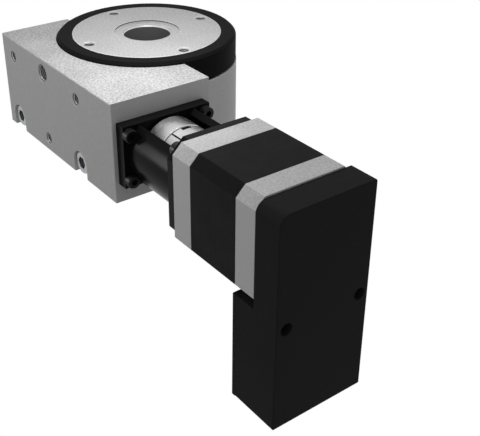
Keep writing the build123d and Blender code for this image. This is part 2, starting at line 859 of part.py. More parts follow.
# Coupling housing: one turned and milled piece from the block's flange to the motor plate
with BuildPart() as coupling_housing:
    with BuildSketch(along(front_face)):
        Rectangle(flange_width, flange_height)
    extrude(amount=flange_thickness)
    with BuildSketch(along(front_face)):
        Circle(worm_bearing_outside - seat_fit)
    extrude(amount=-front_bearing_sink)
    with BuildSketch(along(flange_front)):
        Circle(tube_radius)
    extrude(amount=tube_length)
    with BuildSketch(along(flange_front)):
        with Locations(*corners(flange_bolt_width, flange_bolt_height)):
            Circle(m3[1] + head_play)
    extrude(amount=scallop_length, mode=Mode.SUBTRACT)
    with BuildSketch(along(plate_back)) as plate_outline:
        Rectangle(motor_size, motor_size)
        chamfer(plate_outline.vertices(), motor_plate_chamfer)
    extrude(amount=motor_plate_thickness)
    with BuildSketch(along(front_face - front_bearing_sink)):
        Circle(worm_bearing_outside - worm_bearing_shelf)
    extrude(amount=front_bearing_sink + flange_thickness, mode=Mode.SUBTRACT)
    with BuildSketch(along(flange_front)):
        Circle(tube_bore)
    extrude(amount=motor_face - pilot_height - pilot_gap - flange_front, mode=Mode.SUBTRACT)
    with BuildSketch(along(plate_back)):
        Circle(pilot_radius + seat_fit)
    extrude(amount=motor_plate_thickness, mode=Mode.SUBTRACT)
    with BuildSketch(along(flange_front)):
        with BuildLine():
            reach = 2 * tube_radius
            half_window = radians(window_angle / 2)
            Polyline(
                (0, 0),
                (reach * sin(half_window), reach * cos(half_window)),
                (-reach * sin(half_window), reach * cos(half_window)),
                close=True,
            )
        make_face()
    extrude(amount=tube_length - window_land, mode=Mode.SUBTRACT)
    with BuildSketch(along(front_face)):
        with Locations(*corners(flange_bolt_width, flange_bolt_height)):
            Circle(m3[0] + through_play)
    extrude(amount=flange_thickness, mode=Mode.SUBTRACT)
    with BuildSketch(along(plate_back)):
        with Locations(*corners(motor_bolt_spacing, motor_bolt_spacing)):
            Circle(m3[0] + through_play)
    extrude(amount=motor_plate_thickness, mode=Mode.SUBTRACT)
save(coupling_housing, "coupling_housing")

cap_screws(
    "flange_screws",
    along(flange_front),
    corners(flange_bolt_width, flange_bolt_height),
    m3,
    flange_thickness + flange_screw_grip,
)
cap_screws(
    "motor_plate_screws",
    facing_back(plate_back, worm_height),
    corners(motor_bolt_spacing, motor_bolt_spacing),
    m3,
    motor_plate_thickness + plate_screw_grip,
)


# Coupling: two clamp hubs and a thin floating disc with crossed tongues between them
def slit_direction(angle):
    return Vector(cos(radians(angle)), 0, sin(radians(angle)))


def clamp_seat(angle, head_turn, distance):
    out = slit_direction(angle)
    across = slit_direction(angle + head_turn)
    centre = Vector(-worm_offset, -distance, worm_height)
    centre += out * clamp_screw_offset + across * clamp_head_depth
    return Plane(origin=centre, x_dir=(0, 1, 0), z_dir=across)


def coupling_hub(name, start, length, shaft_radius, slit_angle, screw_seat, tongue_end, tongue_turn):
    # tongue_end is the face that carries the slot for the disc's tongue.
    with BuildPart() as hub:
        with BuildSketch(along(start)):
            Circle(coupling_radius)
        extrude(amount=length)
        chamfer(hub.edges().filter_by(GeomType.CIRCLE), hub_edge_break)
        with BuildSketch(along(start)):
            Circle(shaft_radius + seat_fit)
            with Locations(Location((0, 0, 0), (0, 0, slit_angle))):
                Rectangle(2 * coupling_radius, slit_width, align=(Align.MIN, Align.CENTER))
        extrude(amount=length, mode=Mode.SUBTRACT)
        with BuildSketch(along(tongue_end)):
            Rectangle(3 * coupling_radius, tongue_width + 2 * tongue_play, rotation=tongue_turn)
        into_hub = 1 if tongue_end == start else -1
        extrude(amount=into_hub * (tongue_height + tongue_end_play), mode=Mode.SUBTRACT)
        with BuildSketch(screw_seat):
            Circle(m25[1] + head_play)
        extrude(amount=coupling_radius, mode=Mode.SUBTRACT)
        with BuildSketch(screw_seat):
            Circle(m25[0] + thread_play)
        extrude(amount=-clamp_screw_length - hole_extra, mode=Mode.SUBTRACT)
    save(hub, name)


worm_clamp_seat = clamp_seat(worm_slit_angle, -90, coupling_start + clamp_setback)
motor_clamp_seat = clamp_seat(motor_slit_angle, 90, motor_hub_start + motor_hub_length - clamp_setback)
coupling_hub(
    "coupling_worm_hub",
    coupling_start,
    worm_hub_length,
    journal_radius,
    worm_slit_angle,
    worm_clamp_seat,
    disc_start,
    0,
)
coupling_hub(
    "coupling_motor_hub",
    motor_hub_start,
    motor_hub_length,
    motor_shaft_radius,
    motor_slit_angle,
    motor_clamp_seat,
    motor_hub_start,
    90,
)
cap_screws("worm_clamp_screw", worm_clamp_seat, [(0, 0)], m25, clamp_screw_length)
cap_screws("motor_clamp_screw", motor_clamp_seat, [(0, 0)], m25, clamp_screw_length)

with BuildPart() as coupling_disc:
    with BuildSketch(along(disc_start)):
        Circle(disc_radius)
    extrude(amount=disc_thickness)
    with BuildSketch(along(disc_start)):
        Rectangle(tongue_length, tongue_width)
    extrude(amount=-tongue_height)
    with BuildSketch(along(motor_hub_start)):
        Rectangle(tongue_width, tongue_length)
    extrude(amount=tongue_height)
save(coupling_disc, "coupling_disc")


# Motor: square end caps on a laminated stack, with the rotor and shaft inside
with BuildPart() as motor_front_cap:
    with BuildSketch(along(motor_face)) as front_cap_outline:
        Rectangle(motor_size, motor_size)
        chamfer(front_cap_outline.vertices(), motor_chamfer)
    extrude(amount=front_cap_length)
    with BuildSketch(along(motor_face)):
        Circle(pilot_radius)
    extrude(amount=-pilot_height)
    with BuildSketch(along(motor_face - pilot_height)):
        Circle(motor_shaft_radius + shaft_hole_gap)
    extrude(amount=pilot_height + cap_floor, mode=Mode.SUBTRACT)
    with BuildSketch(along(motor_face + cap_floor)):
        Circle(motor_bearing_outside + seat_fit)
    extrude(amount=front_cap_length, mode=Mode.SUBTRACT)
    with BuildSketch(along(stack_start)):
        Circle(cap_bore)
    extrude(amount=-coil_room, mode=Mode.SUBTRACT)
    with BuildSketch(along(motor_face)):
        with Locations(*corners(motor_bolt_spacing, motor_bolt_spacing)):
            Circle(m3[0] + thread_play)
    extrude(amount=plate_screw_grip + hole_extra, mode=Mode.SUBTRACT)
    with BuildSketch(along(stack_start)):
        with Locations(*corners(motor_bolt_spacing, motor_bolt_spacing)):
            Circle(m3[0] + thread_play)
    extrude(amount=-motor_bolt_grip - hole_extra, mode=Mode.SUBTRACT)
save(motor_front_cap, "motor_front_cap")

with BuildPart() as motor_stator:
    with BuildSketch(along(stack_start)) as stack_outline:
        Rectangle(motor_size, motor_size)
        chamfer(stack_outline.vertices(), motor_chamfer)
        Circle(slot_radius, mode=Mode.SUBTRACT)
        with PolarLocations(pole_middle, pole_count):
            Rectangle(slot_radius + pole_sink - stator_bore, pole_width)
        Circle(stator_bore, mode=Mode.SUBTRACT)
        with Locations(*corners(motor_bolt_spacing, motor_bolt_spacing)):
            Circle(m3[0] + through_play, mode=Mode.SUBTRACT)
    extrude(amount=stack_length)
save(motor_stator, "motor_stator")

with BuildPart() as motor_coils:
    with BuildSketch(along(stack_start - coil_thickness)):
        with PolarLocations(pole_middle, pole_count):
            Rectangle(coil_depth, pole_width + 2 * coil_thickness)
    extrude(amount=stack_length + 2 * coil_thickness)
    with BuildSketch(along(stack_start - coil_play)):
        with PolarLocations(pole_middle, pole_count):
            Rectangle(2 * coil_depth, pole_width + 2 * coil_play)
    extrude(amount=stack_length + 2 * coil_play, mode=Mode.SUBTRACT)
save(motor_coils, "motor_coils")

with BuildPart() as motor_rear_cap:
    with BuildSketch(along(stack_end)) as rear_cap_outline:
        Rectangle(motor_size, motor_size)
        chamfer(rear_cap_outline.vertices(), motor_chamfer)
    extrude(amount=rear_cap_length)
    with BuildSketch(along(stack_end)):
        Circle(motor_shaft_radius + shaft_hole_gap)
        with Locations(*corners(motor_bolt_spacing, motor_bolt_spacing)):
            Circle(m3[0] + through_play)
    extrude(amount=rear_cap_length, mode=Mode.SUBTRACT)
    with BuildSketch(along(stack_end)):
        Circle(motor_bearing_outside + seat_fit)
    extrude(amount=rear_cap_length - cap_floor, mode=Mode.SUBTRACT)
    with BuildSketch(along(stack_end)):
        Circle(cap_bore)
    extrude(amount=coil_room, mode=Mode.SUBTRACT)
save(motor_rear_cap, "motor_rear_cap")

rotor_middle = stack_start + stack_length / 2
rotor_start = rotor_middle - rotor_magnet_length / 2 - rotor_cup_length
with BuildPart() as motor_rotor:
    for cup_start in (rotor_start, rotor_middle + rotor_magnet_length / 2):
        with BuildSketch(along(cup_start)):
            Circle(rotor_radius)
            Circle(motor_shaft_radius + seat_fit, mode=Mode.SUBTRACT)
            with PolarLocations(rotor_radius, rotor_teeth):
                Rectangle(2 * rotor_slot_depth, rotor_slot_width, mode=Mode.SUBTRACT)
        extrude(amount=rotor_cup_length)
save(motor_rotor, "motor_rotor")

with BuildPart() as rotor_magnet:
    with BuildSketch(along(rotor_middle - rotor_magnet_length / 2)):
        Circle(rotor_magnet_radius)
        Circle(motor_shaft_radius + seat_fit, mode=Mode.SUBTRACT)
    extrude(amount=rotor_magnet_length)
save(rotor_magnet, "rotor_magnet")

with BuildPart() as motor_shaft:
    with BuildSketch(along(motor_shaft_tip)):
        Circle(motor_shaft_radius - seat_fit)
    extrude(amount=shaft_tail - motor_shaft_tip)
    chamfer(motor_shaft.edges().filter_by(GeomType.CIRCLE), shaft_edge_break)
save(motor_shaft, "motor_shaft")

for bearing, middle in (
    ("motor_front_bearing", front_motor_bearing),
    ("motor_rear_bearing", rear_motor_bearing),
):
    ball_bearing(
        bearing,
        along(middle),
        motor_shaft_radius,
        motor_bearing_outside,
        motor_bearing_width,
        motor_ball,
        motor_ball_count,
    )

cap_screws(
    "motor_bolts",
    along(bolt_seat),
    corners(motor_bolt_spacing, motor_bolt_spacing),
    m3,
    bolt_seat - stack_start + motor_bolt_grip,
)

with BuildPart() as encoder_magnet:
    with BuildSketch(along(shaft_tail)):
        Circle(encoder_magnet_radius)
    extrude(amount=encoder_magnet_length)
save(encoder_magnet, "encoder_magnet")


# Drive case: a tall shallow part behind the motor and a deeper part that hangs below it
def case_outline(top, inset=0.0):
    with Locations((0, (top - case_bottom) / 2)):
        Rectangle(case_width - 2 * inset, top + case_bottom - 2 * inset)


with BuildPart() as drive_case:
    with BuildSketch(behind(motor_end)):
        case_outline(case_top)
    extrude(amount=case_rear - motor_end)
    top_edges = drive_case.edges().filter_by(Axis.Y).group_by(Axis.Z)[-1].sort_by(Axis.X)
    fillet(top_edges[0], case_left_corner)
    fillet(top_edges[1], case_right_corner)
    with BuildSketch(behind(cover_seat)):
        case_outline(case_shoulder)
    extrude(amount=case_rear - cover_seat)
    chamfer(drive_case.faces().sort_by(Axis.Y)[0].edges(), case_edge_break)
    chamfer(drive_case.faces().sort_by(Axis.Z)[0].edges().filter_by(Axis.Y), case_edge_break)
    with BuildSketch(behind(case_inside)) as upper_room:
        case_outline(case_top, case_wall)
        room_corner = upper_room.vertices().group_by(Axis.Y)[-1].sort_by(Axis.X)[0]
        fillet(room_corner, case_left_corner - case_wall)
    extrude(amount=bolt_seat - case_inside, mode=Mode.SUBTRACT)
    with BuildSketch(behind(cover_seat)):
        case_outline(case_shoulder, case_wall)
    extrude(amount=case_inside - cover_seat, mode=Mode.SUBTRACT)
    # Bosses for the two rear screws, and posts for the two circuit boards
    with BuildSketch(behind(cover_seat)):
        with Locations(*case_places):
            Circle(case_hole_radius + boss_wall)
        with Locations((0, (case_shoulder - case_bottom) / 2)):
            Rectangle(case_width, case_shoulder + case_bottom, mode=Mode.INTERSECT)
    extrude(amount=case_inside - cover_seat)
    with BuildSketch(behind(board_back)):
        with Locations(*board_places):
            Circle(board_post_radius)
    extrude(amount=case_inside - board_back)
    with BuildSketch(behind(encoder_back)):
        with Locations(*encoder_places):
            Circle(encoder_post_radius)
    extrude(amount=case_inside - encoder_back)
    with BuildSketch(behind(case_screw_seat)):
        with Locations(*case_places):
            Circle(case_hole_radius)
    extrude(amount=case_rear - case_screw_seat, mode=Mode.SUBTRACT)
    with BuildSketch(behind(cover_seat)):
        with Locations(*case_places):
            Circle(m25[0] + through_play)
    extrude(amount=case_screw_seat - cover_seat, mode=Mode.SUBTRACT)
    with BuildSketch(behind(board_back)):
        with Locations(*board_places):
            Circle(m25[0] + thread_play)
    extrude(amount=board_screw_grip + hole_extra, mode=Mode.SUBTRACT)
    with BuildSketch(behind(encoder_back)):
        with Locations(*encoder_places):
            Circle(m2[0] + thread_play)
    extrude(amount=encoder_screw_grip + hole_extra, mode=Mode.SUBTRACT)
    with BuildSketch(along(motor_end)):
        with Locations(*corners(motor_bolt_spacing, motor_bolt_spacing)):
            Circle(m3[0] + through_play)
        Circle(encoder_magnet_radius + magnet_gap)
    extrude(amount=case_wall, mode=Mode.SUBTRACT)
save(drive_case, "drive_case")

with BuildPart() as drive_cover:
    with BuildSketch(behind(case_nose)):
        case_outline(case_shoulder)
    extrude(amount=cover_thickness)
    chamfer(drive_cover.faces().sort_by(Axis.Y)[-1].edges(), case_edge_break)
    with BuildSketch(behind(case_nose)):
        with Locations((0, connector_height)):
            Circle(connector_body_radius + seat_fit)
    extrude(amount=cover_thickness, mode=Mode.SUBTRACT)
    with BuildSketch(behind(cover_seat)):
        with Locations(*case_places):
            Circle(m25[0] + thread_play)
    extrude(amount=-cover_screw_grip - hole_extra / 2, mode=Mode.SUBTRACT)
save(drive_cover, "drive_cover")

cap_screws(
    "case_screws",
    behind(case_screw_seat),
    case_places,
    m25,
    case_screw_seat - cover_seat + cover_screw_grip,
)

with BuildPart() as power_connector:
    with BuildSketch(behind(case_nose)):
        with Locations((0, connector_height)):
            Circle(connector_flange_radius)
    extrude(amount=-connector_flange_height)
    chamfer(power_connector.edges().group_by(Axis.Y)[-1], case_edge_break)
    with BuildSketch(behind(case_nose)):
        with Locations((0, connector_height)):
            Circle(connector_body_radius)
    extrude(amount=connector_body_length)
    with BuildSketch(behind(case_nose - connector_flange_height)):
        with Locations((0, connector_height)):
            Circle(connector_socket_radius)
            Circle(connector_pin_radius, mode=Mode.SUBTRACT)
    extrude(amount=connector_socket_depth, mode=Mode.SUBTRACT)
save(power_connector, "power_connector")

with BuildPart() as drive_board:
    with BuildSketch(behind(board_start)):
        with Locations((0, board_middle)):
            Rectangle(board_width, board_height)
        with Locations(*board_places):
            Circle(m25[0] + through_play, mode=Mode.SUBTRACT)
    extrude(amount=board_thickness)
save(drive_board, "drive_board")

cap_screws(
    "board_screws",
    facing_back(board_start),
    board_places,
    m25,
    board_thickness + board_screw_grip,
)

with BuildPart() as board_capacitors:
    with BuildSketch(behind(board_start)):
        with Locations(*capacitor_places):
            Circle(capacitor_radius)
    extrude(amount=-capacitor_height)
    chamfer(board_capacitors.edges().group_by(Axis.Y)[-1], case_edge_break)
save(board_capacitors, "board_capacitors")

with BuildPart() as encoder_board:
    with BuildSketch(behind(encoder_start)):
        with Locations((0, worm_height)):
            Rectangle(encoder_board_size, encoder_board_size)
        with Locations(*encoder_places):
            Circle(m2[0] + through_play, mode=Mode.SUBTRACT)
    extrude(amount=board_thickness)
save(encoder_board, "encoder_board")

cap_screws(
    "encoder_screws",
    facing_back(encoder_start),
    encoder_places,
    m2,
    board_thickness + encoder_screw_grip,
)
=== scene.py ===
import json
import math
import bmesh
import bpy
from mathutils import Matrix, Vector


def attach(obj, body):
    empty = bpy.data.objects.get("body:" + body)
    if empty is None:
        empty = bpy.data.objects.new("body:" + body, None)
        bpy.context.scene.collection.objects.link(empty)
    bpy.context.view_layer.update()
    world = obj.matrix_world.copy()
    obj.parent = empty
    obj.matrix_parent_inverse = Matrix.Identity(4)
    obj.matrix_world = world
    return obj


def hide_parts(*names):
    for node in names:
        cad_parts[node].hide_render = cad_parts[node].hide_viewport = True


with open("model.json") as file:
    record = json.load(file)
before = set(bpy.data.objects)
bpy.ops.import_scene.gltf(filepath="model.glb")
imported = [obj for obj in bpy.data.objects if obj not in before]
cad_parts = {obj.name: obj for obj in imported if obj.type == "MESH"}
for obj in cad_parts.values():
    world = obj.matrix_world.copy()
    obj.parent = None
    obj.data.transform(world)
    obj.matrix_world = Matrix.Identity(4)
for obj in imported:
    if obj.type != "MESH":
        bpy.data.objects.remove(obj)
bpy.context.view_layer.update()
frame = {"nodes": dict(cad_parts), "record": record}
mm = 0.001
cadNodes = frame["nodes"]
bodyOf = {}
for bodyName, members in frame["record"]["behaviour"]["bodies"].items():
    for member in members:
        bodyOf[member] = bodyName
slotOf = {row["node"]: row["material_slot"] for row in frame["record"]["subparts"]}
print("frame loaded:", len(cadNodes), "nodes")


# Colours are written as sRGB hex and turned to linear here
def linear(hexColour):
    values = [int(hexColour[i:i + 2], 16) / 255 for i in (1, 3, 5)]
    return [v / 12.92 if v <= 0.04045 else ((v + 0.055) / 1.055) ** 2.4 for v in values] + [1.0]


def perMetre(millimetres):
    return 1 / (millimetres * mm)


def addNode(tree, kind, links=None, **settings):
    node = tree.nodes.new(kind)
    for name, value in settings.items():
        setattr(node, name, value)
    for socket, value in (links or {}).items():
        if isinstance(value, bpy.types.NodeSocket):
            tree.links.new(value, node.inputs[socket])
        else:
            node.inputs[socket].default_value = value
    return node


def newMaterial(name):
    material = bpy.data.materials.new(name)
    material.use_nodes = True
    material.node_tree.nodes.clear()
    return material, material.node_tree


def closeMaterial(tree, surface):
    output = addNode(tree, "ShaderNodeOutputMaterial")
    tree.links.new(surface.outputs[0], output.inputs["Surface"])


# Most values of a noise lie in this band; roughness swings by a little to each side
noiseBand = (0.3, 0.7)
grainedSwing = 0.04
linedSwing = 0.05


# What every finish ends with: its bump, its shader and the output
def closeFinish(tree, look, colour, roughness, height):
    bump = addNode(tree, "ShaderNodeBump", {
        "Height": height, "Strength": look["bump"], "Distance": look["depth"] * mm})
    shader = addNode(tree, "ShaderNodeBsdfPrincipled", {
        "Base Color": colour.outputs[2], "Roughness": roughness, "Metallic": look["metal"],
        "Specular IOR Level": look["gloss"], "Normal": bump.outputs["Normal"]})
    closeMaterial(tree, shader)


# A grain of two colours, with a bump of the same size. The sizes grain, cloud and depth are millimetres.
# Where a look has "calm", its upright faces keep only that share of the contrast: painted light, the
# speckle painted fainter on upright faces for how light falls on them
def grainedFinish(name, look):
    material, tree = newMaterial(name)
    coords = addNode(tree, "ShaderNodeTexCoord")
    place = coords.outputs["Object"]
    fine = addNode(tree, "ShaderNodeTexNoise", {
        "Vector": place, "Scale": perMetre(look["grain"]), "Detail": 2.0, "Roughness": 0.6})
    cloud = addNode(tree, "ShaderNodeTexNoise", {
        "Vector": place, "Scale": perMetre(look["cloud"]), "Detail": 3.0, "Roughness": 0.5})
    centred = 0.5 - look["fineShare"] / 2
    speckle = addNode(tree, "ShaderNodeMath", {
        0: fine.outputs["Fac"], 1: look["fineShare"], 2: centred}, operation="MULTIPLY_ADD")
    both = addNode(tree, "ShaderNodeMath", {
        0: cloud.outputs["Fac"], 1: look["cloudShare"], 2: speckle.outputs[0]}, operation="MULTIPLY_ADD")
    lift = look["cloudShare"] / 2
    shade = addNode(tree, "ShaderNodeMapRange", {
        "Value": both.outputs[0], "From Min": noiseBand[0] + lift, "From Max": noiseBand[1] + lift})
    share = shade.outputs["Result"]
    # Painted light: the contrast of the speckle is lowered on upright faces, standing in for how light
    # falls on them
    if "calm" in look:
        facing = addNode(tree, "ShaderNodeSeparateXYZ", {"Vector": coords.outputs["Normal"]})
        contrast = addNode(tree, "ShaderNodeMapRange", {
            "Value": facing.outputs["Z"], "To Min": look["calm"], "To Max": 1.0})
        share = addNode(tree, "ShaderNodeMix", {
            "Factor": contrast.outputs["Result"], "A": 0.5, "B": share}).outputs[0]
    colour = addNode(tree, "ShaderNodeMix", {
        "Factor": share, 6: linear(look["dark"]), 7: linear(look["light"])}, data_type="RGBA")
    rough = addNode(tree, "ShaderNodeMapRange", {
        "Value": cloud.outputs["Fac"], "From Min": noiseBand[0], "From Max": noiseBand[1],
        "To Min": look["rough"] - grainedSwing, "To Max": look["rough"] + grainedSwing})
    closeFinish(tree, look, colour, rough.outputs["Result"], fine.outputs["Fac"])
    return material


# Lines across an axis: turning marks on a lathe part, or the edges of stacked sheets
def linedFinish(name, look):
    material, tree = newMaterial(name)
    place = addNode(tree, "ShaderNodeTexCoord").outputs["Object"]
    axes = addNode(tree, "ShaderNodeSeparateXYZ", {"Vector": place})
    along = addNode(tree, "ShaderNodeMath", {
        0: axes.outputs[look["axis"]], 1: perMetre(look["pitch"])}, operation="MULTIPLY")
    step = addNode(tree, "ShaderNodeTexNoise", {
        "W": along.outputs[0], "Scale": 1.0, "Detail": 1.0}, noise_dimensions="1D")
    cloud = addNode(tree, "ShaderNodeTexNoise", {
        "Vector": place, "Scale": perMetre(look["cloud"]), "Detail": 2.0})
    colour = addNode(tree, "ShaderNodeMix", {
        "Factor": step.outputs["Fac"], 6: linear(look["dark"]), 7: linear(look["light"])}, data_type="RGBA")
    rough = addNode(tree, "ShaderNodeMapRange", {
        "Value": cloud.outputs["Fac"], "From Min": noiseBand[0], "From Max": noiseBand[1],
        "To Min": look["rough"] - linedSwing, "To Max": look["rough"] + linedSwing})
    closeFinish(tree, look, colour, rough.outputs["Result"], step.outputs["Fac"])
    return material


# Walls of bored and tapped holes: even rings at the thread's pitch, in dark colours that are painted shade,
# as little light gets in
def shadedCutWall(name, look):
    material, tree = newMaterial(name)
    place = addNode(tree, "ShaderNodeTexCoord").outputs["Object"]
    axes = addNode(tree, "ShaderNodeSeparateXYZ", {"Vector": place})
    turn = addNode(tree, "ShaderNodeMath", {
        0: axes.outputs[look["axis"]], 1: perMetre(look["pitch"]) * math.tau}, operation="MULTIPLY")
    wave = addNode(tree, "ShaderNodeMath", {0: turn.outputs[0]}, operation="SINE")
    ring = addNode(tree, "ShaderNodeMapRange", {
        "Value": wave.outputs[0], "From Min": -1.0, "From Max": 1.0})
    colour = addNode(tree, "ShaderNodeMix", {
        "Factor": ring.outputs["Result"], 6: linear(look["dark"]), 7: linear(look["light"])},
        data_type="RGBA")
    closeFinish(tree, look, colour, look["rough"], ring.outputs["Result"])
    return material


# The real grains of these finishes, some hundredths to tenths of a millimetre, are drawn at 0.2 to 1.1 mm
# and the turning marks at 0.4 mm, so that they show. The sheets' 0.5 mm and the threads' 0.8 mm are real

# Milled aluminium, bead blasted and clear anodised: pale grey, a fine speckle, no mirror. The real grain of
# about 0.1 mm is drawn at 0.9 mm, so that it shows, and its contrast is painted calmer on the upright
# faces, as painted light for how light falls on them
def blastedAluminium():
    return grainedFinish("blastedAluminium", {
        "dark": "#989898", "light": "#dedede", "grain": 0.9, "calm": 0.15, "cloud": 22.0, "fineShare": 0.9,
        "cloudShare": 0.25, "rough": 0.5, "metal": 0.08, "gloss": 0.12, "bump": 0.8, "depth": 0.06})


# Turned aluminium disc, blasted as the block is: the same pale grey with a softer, slightly finer speckle
def facedAluminium():
    return grainedFinish("facedAluminium", {
        "dark": "#a6a6a6", "light": "#d4d4d4", "grain": 0.8, "calm": 0.3, "cloud": 22.0, "fineShare": 0.9,
        "cloudShare": 0.25, "rough": 0.5, "metal": 0.15, "gloss": 0.25, "bump": 0.8, "depth": 0.05})


# Cast aluminium, milled after casting: a plain grey, calmer than the block's and as coarse in its grain
def castAluminium():
    return grainedFinish("castAluminium", {
        "dark": "#a2a2a2", "light": "#cecece", "grain": 0.9, "calm": 0.2, "cloud": 14.0, "fineShare": 0.7,
        "cloudShare": 0.3, "rough": 0.5, "metal": 0.15, "gloss": 0.25, "bump": 0.3, "depth": 0.03})


# Black anodised aluminium: a deep grey, satin, with a very fine grain
def blackAnodised():
    return grainedFinish("blackAnodised", {
        "dark": "#141414", "light": "#1b1b1b", "grain": 0.35, "cloud": 18.0, "fineShare": 0.6,
        "cloudShare": 0.3, "rough": 0.55, "metal": 0.0, "gloss": 0.015, "bump": 0.25, "depth": 0.03})


# The same anodising on the turned tube of the bracket, smoother, with a soft streak of light along it
def smoothAnodised():
    return grainedFinish("smoothAnodised", {
        "dark": "#101010", "light": "#161616", "grain": 0.35, "cloud": 18.0, "fineShare": 0.6,
        "cloudShare": 0.3, "rough": 0.24, "metal": 0.0, "gloss": 0.03, "bump": 0.05, "depth": 0.01})


# Satin black paint on a cast case: smoother, with a faint orange peel
def blackEnamel():
    return grainedFinish("blackEnamel", {
        "dark": "#272727", "light": "#2c2c2c", "grain": 1.1, "cloud": 30.0, "fineShare": 0.5,
        "cloudShare": 0.3, "rough": 0.55, "metal": 0.0, "gloss": 0.012, "bump": 0.12, "depth": 0.03})


# Bright turned aluminium: clear rings round the axis left by the tool
def turnedAluminium():
    return linedFinish("turnedAluminium", {
        "dark": "#b4b4b4", "light": "#d2d2d2", "axis": "Y", "pitch": 0.4, "cloud": 6.0,
        "rough": 0.28, "metal": 0.95, "gloss": 0.5, "bump": 0.2, "depth": 0.01})


# Blackened sheets of the motor's stack, edges showing as fine lines across the motor's axis
def blackLaminations():
    return linedFinish("blackLaminations", {
        "dark": "#111111", "light": "#222222", "axis": "Y", "pitch": 0.5, "cloud": 9.0,
        "rough": 0.5, "metal": 0.0, "gloss": 0.04, "bump": 0.3, "depth": 0.03})


# Ground steel: cool grey, fine marks round the shaft
def groundSteel():
    return linedFinish("groundSteel", {
        "dark": "#8f9194", "light": "#b4b6b9", "axis": "Y", "pitch": 0.12, "cloud": 5.0,
        "rough": 0.25, "metal": 1.0, "gloss": 0.5, "bump": 0.15, "depth": 0.01})


# Bare stamped steel sheets of the rotor: a dull dark grey with a line at each sheet
def rotorLaminations():
    return linedFinish("rotorLaminations", {
        "dark": "#56585b", "light": "#6e7073", "axis": "Y", "pitch": 0.5, "cloud": 5.0,
        "rough": 0.4, "metal": 0.9, "gloss": 0.5, "bump": 0.3, "depth": 0.02})


# Black oxide on cap screws: almost black, a soft sheen
def blackenedSteel():
    return grainedFinish("blackenedSteel", {
        "dark": "#121212", "light": "#1f1f1f", "grain": 0.3, "cloud": 3.0, "fineShare": 0.6,
        "cloudShare": 0.5, "rough": 0.34, "metal": 0.15, "gloss": 0.15, "bump": 0.12, "depth": 0.01})


# Zinc plated steel screws: light grey with soft patches and a metal's sheen
def zincSteel():
    return grainedFinish("zincSteel", {
        "dark": "#8c8d90", "light": "#acadb0", "grain": 0.4, "cloud": 3.0, "fineShare": 0.6,
        "cloudShare": 0.5, "rough": 0.32, "metal": 0.9, "gloss": 0.5, "bump": 0.12, "depth": 0.01})


# Ground and polished bearing steel: nearly a mirror, very little grain
def bearingSteel():
    return grainedFinish("bearingSteel", {
        "dark": "#a9abae", "light": "#c9cbce", "grain": 0.2, "cloud": 4.0, "fineShare": 0.3,
        "cloudShare": 0.3, "rough": 0.15, "metal": 1.0, "gloss": 0.5, "bump": 0.03, "depth": 0.005})


# Cast tin bronze, cut by the hob: a warm brown gold
def tinBronze():
    return grainedFinish("tinBronze", {
        "dark": "#a37b3c", "light": "#c79a55", "grain": 0.3, "cloud": 6.0, "fineShare": 0.5,
        "cloudShare": 0.4, "rough": 0.32, "metal": 1.0, "gloss": 0.5, "bump": 0.08, "depth": 0.01})


# Enamelled copper wire wound in coils: red brown turns 0.4 mm apart
def windingCopper():
    return linedFinish("windingCopper", {
        "dark": "#7a3214", "light": "#b25a2a", "axis": "Z", "pitch": 0.4, "cloud": 3.0,
        "rough": 0.35, "metal": 0.8, "gloss": 0.5, "bump": 0.5, "depth": 0.08})


# Nickel plated magnet, pressed and ground: plain satin grey
def platedMagnet():
    return grainedFinish("platedMagnet", {
        "dark": "#8a8a8c", "light": "#9d9da0", "grain": 0.5, "cloud": 4.0, "fineShare": 0.4,
        "cloudShare": 0.4, "rough": 0.28, "metal": 1.0, "gloss": 0.5, "bump": 0.05, "depth": 0.01})


# Moulded nitrile rubber: matt black, no shine
def sealRubber():
    return grainedFinish("sealRubber", {
        "dark": "#141414", "light": "#1e1e1e", "grain": 0.25, "cloud": 5.0, "fineShare": 0.7,
        "cloudShare": 0.3, "rough": 0.8, "metal": 0.0, "gloss": 0.5, "bump": 0.3, "depth": 0.02})


# Moulded black nylon: a dull sheen, a very fine grain
def darkNylon():
    return grainedFinish("darkNylon", {
        "dark": "#171717", "light": "#202020", "grain": 0.3, "cloud": 4.0, "fineShare": 0.6,
        "cloudShare": 0.3, "rough": 0.55, "metal": 0.0, "gloss": 0.5, "bump": 0.15, "depth": 0.01})


# Glass epoxy board under green solder resist: deep green, faintly uneven
def circuitBoard():
    return grainedFinish("circuitBoard", {
        "dark": "#0f4a2a", "light": "#176338", "grain": 0.8, "cloud": 6.0, "fineShare": 0.7,
        "cloudShare": 0.5, "rough": 0.35, "metal": 0.0, "gloss": 0.5, "bump": 0.1, "depth": 0.02})


# Shrunk film on the capacitors' cans: blue black with a smooth gloss
def capacitorSleeve():
    return grainedFinish("capacitorSleeve", {
        "dark": "#16161f", "light": "#1f1f2a", "grain": 0.5, "cloud": 4.0, "fineShare": 0.4,
        "cloudShare": 0.3, "rough": 0.25, "metal": 0.0, "gloss": 0.5, "bump": 0.05, "depth": 0.01})


# Moulded black plastic of the power connector: even and dull
def connectorPlastic():
    return grainedFinish("connectorPlastic", {
        "dark": "#151515", "light": "#1c1c1c", "grain": 0.3, "cloud": 5.0, "fineShare": 0.6,
        "cloudShare": 0.3, "rough": 0.5, "metal": 0.0, "gloss": 0.5, "bump": 0.1, "depth": 0.01})


